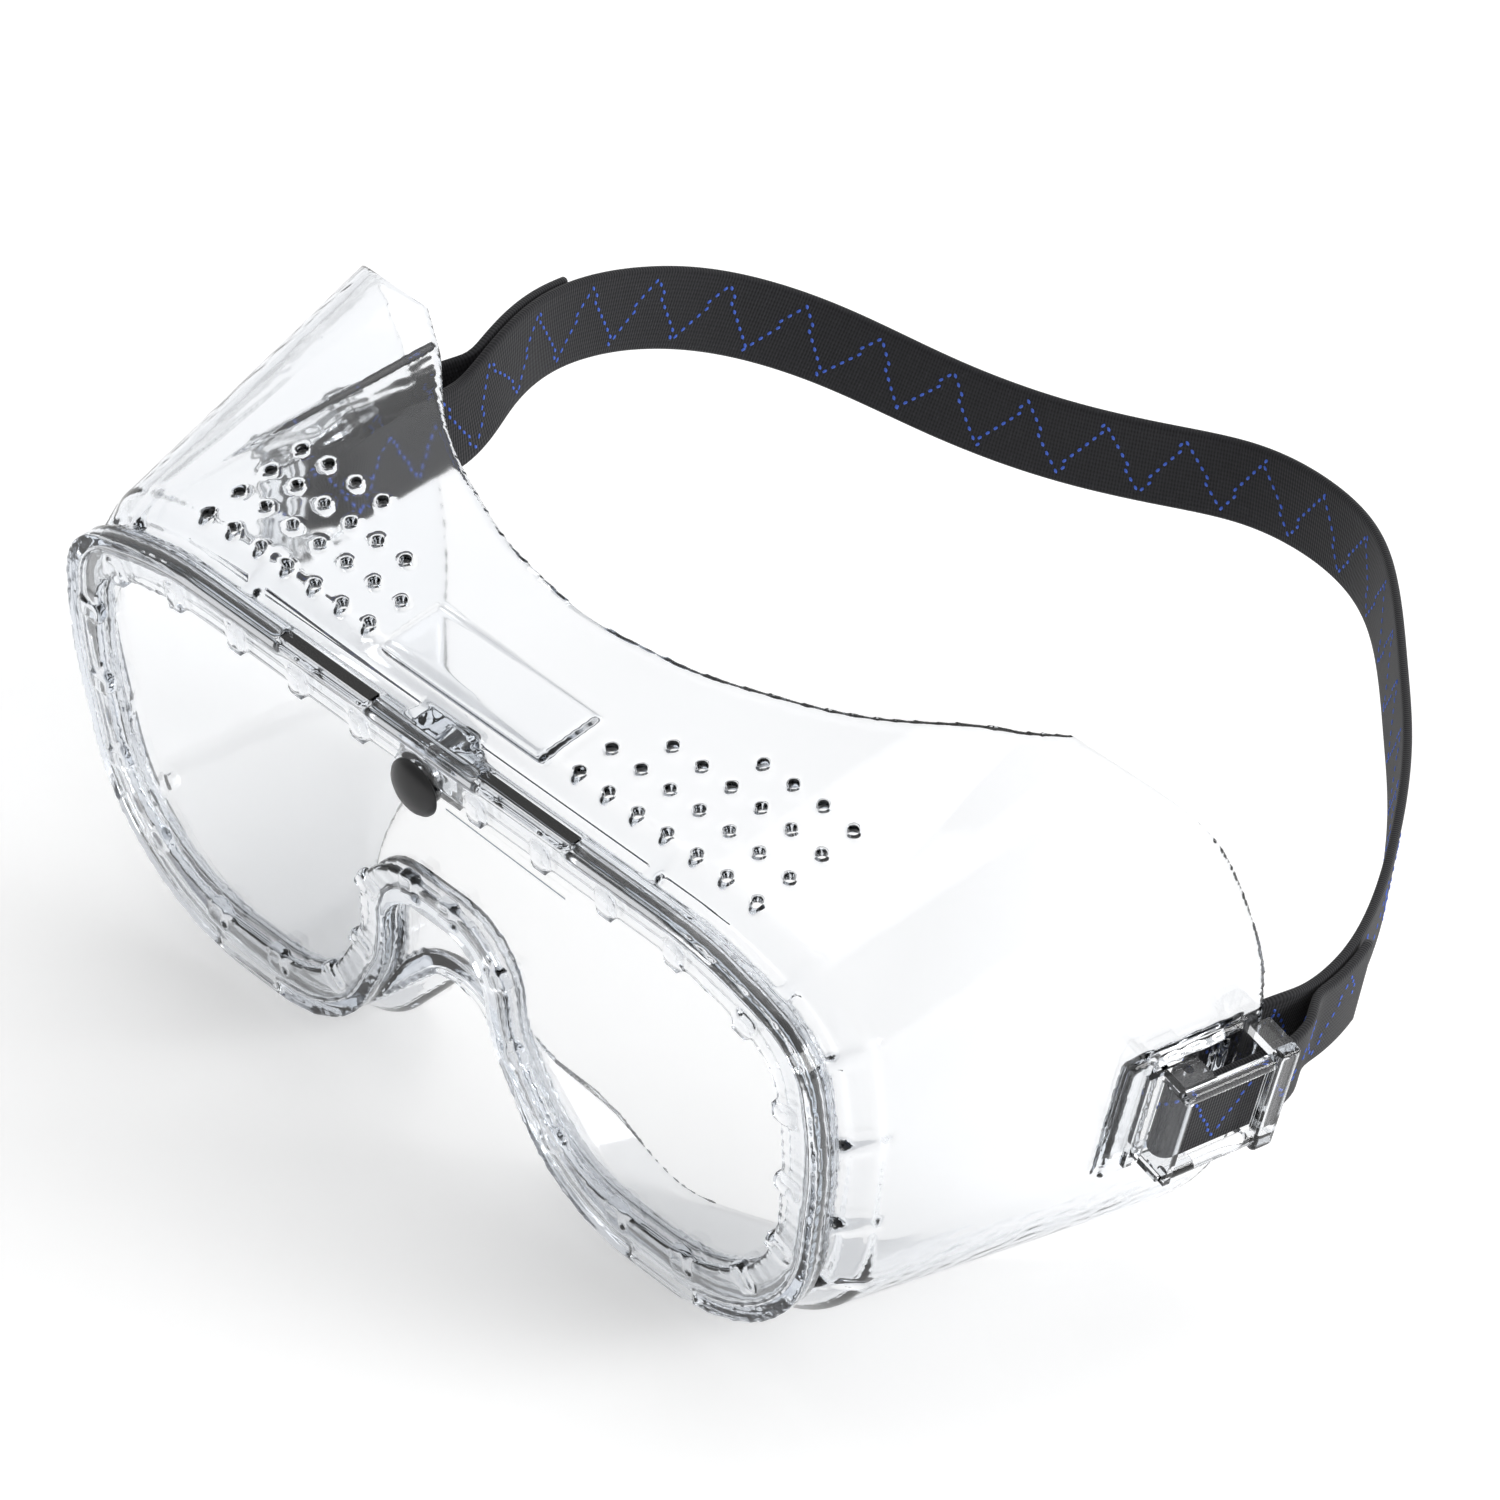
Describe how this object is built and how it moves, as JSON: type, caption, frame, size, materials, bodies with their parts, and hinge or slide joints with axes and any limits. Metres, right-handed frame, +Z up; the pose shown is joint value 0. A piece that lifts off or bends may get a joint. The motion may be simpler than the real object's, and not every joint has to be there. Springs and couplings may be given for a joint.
{
  "type": "safety goggles",
  "caption": "Wide-vision safety goggles: soft clear vented frame with a flat clear lens, press stud, strap buckles and a black elastic headband.",
  "frame": {"origin": "centre of the bounding box on the surface the goggles stand on", "axes": "+Z up, -Y the way the lens faces, +X towards the wearer's left"},
  "size_m": [0.1984, 0.206, 0.0945],
  "materials": {
    "soft_clear": "clear soft PVC, glossy",
    "hard_clear": "clear hard polycarbonate, polished",
    "black_plastic": "satin black",
    "buckle_clear": "clear hard plastic, glossy",
    "elastic": "black woven elastic with blue stitch dots"
  },
  "bodies": {
    "goggles": {"goggle_frame": "soft_clear", "lens": "hard_clear", "left_buckle": "buckle_clear", "right_buckle": "buckle_clear", "headband": "elastic"},
    "stud": {"lens_stud": "black_plastic"}
  },
  "joints": [
    {"name": "stud_pull", "type": "slide", "parent": "goggles", "child": "stud", "axis": [0, -0.9781, -0.2079], "range_m": [0, 0.012]}
  ]
}
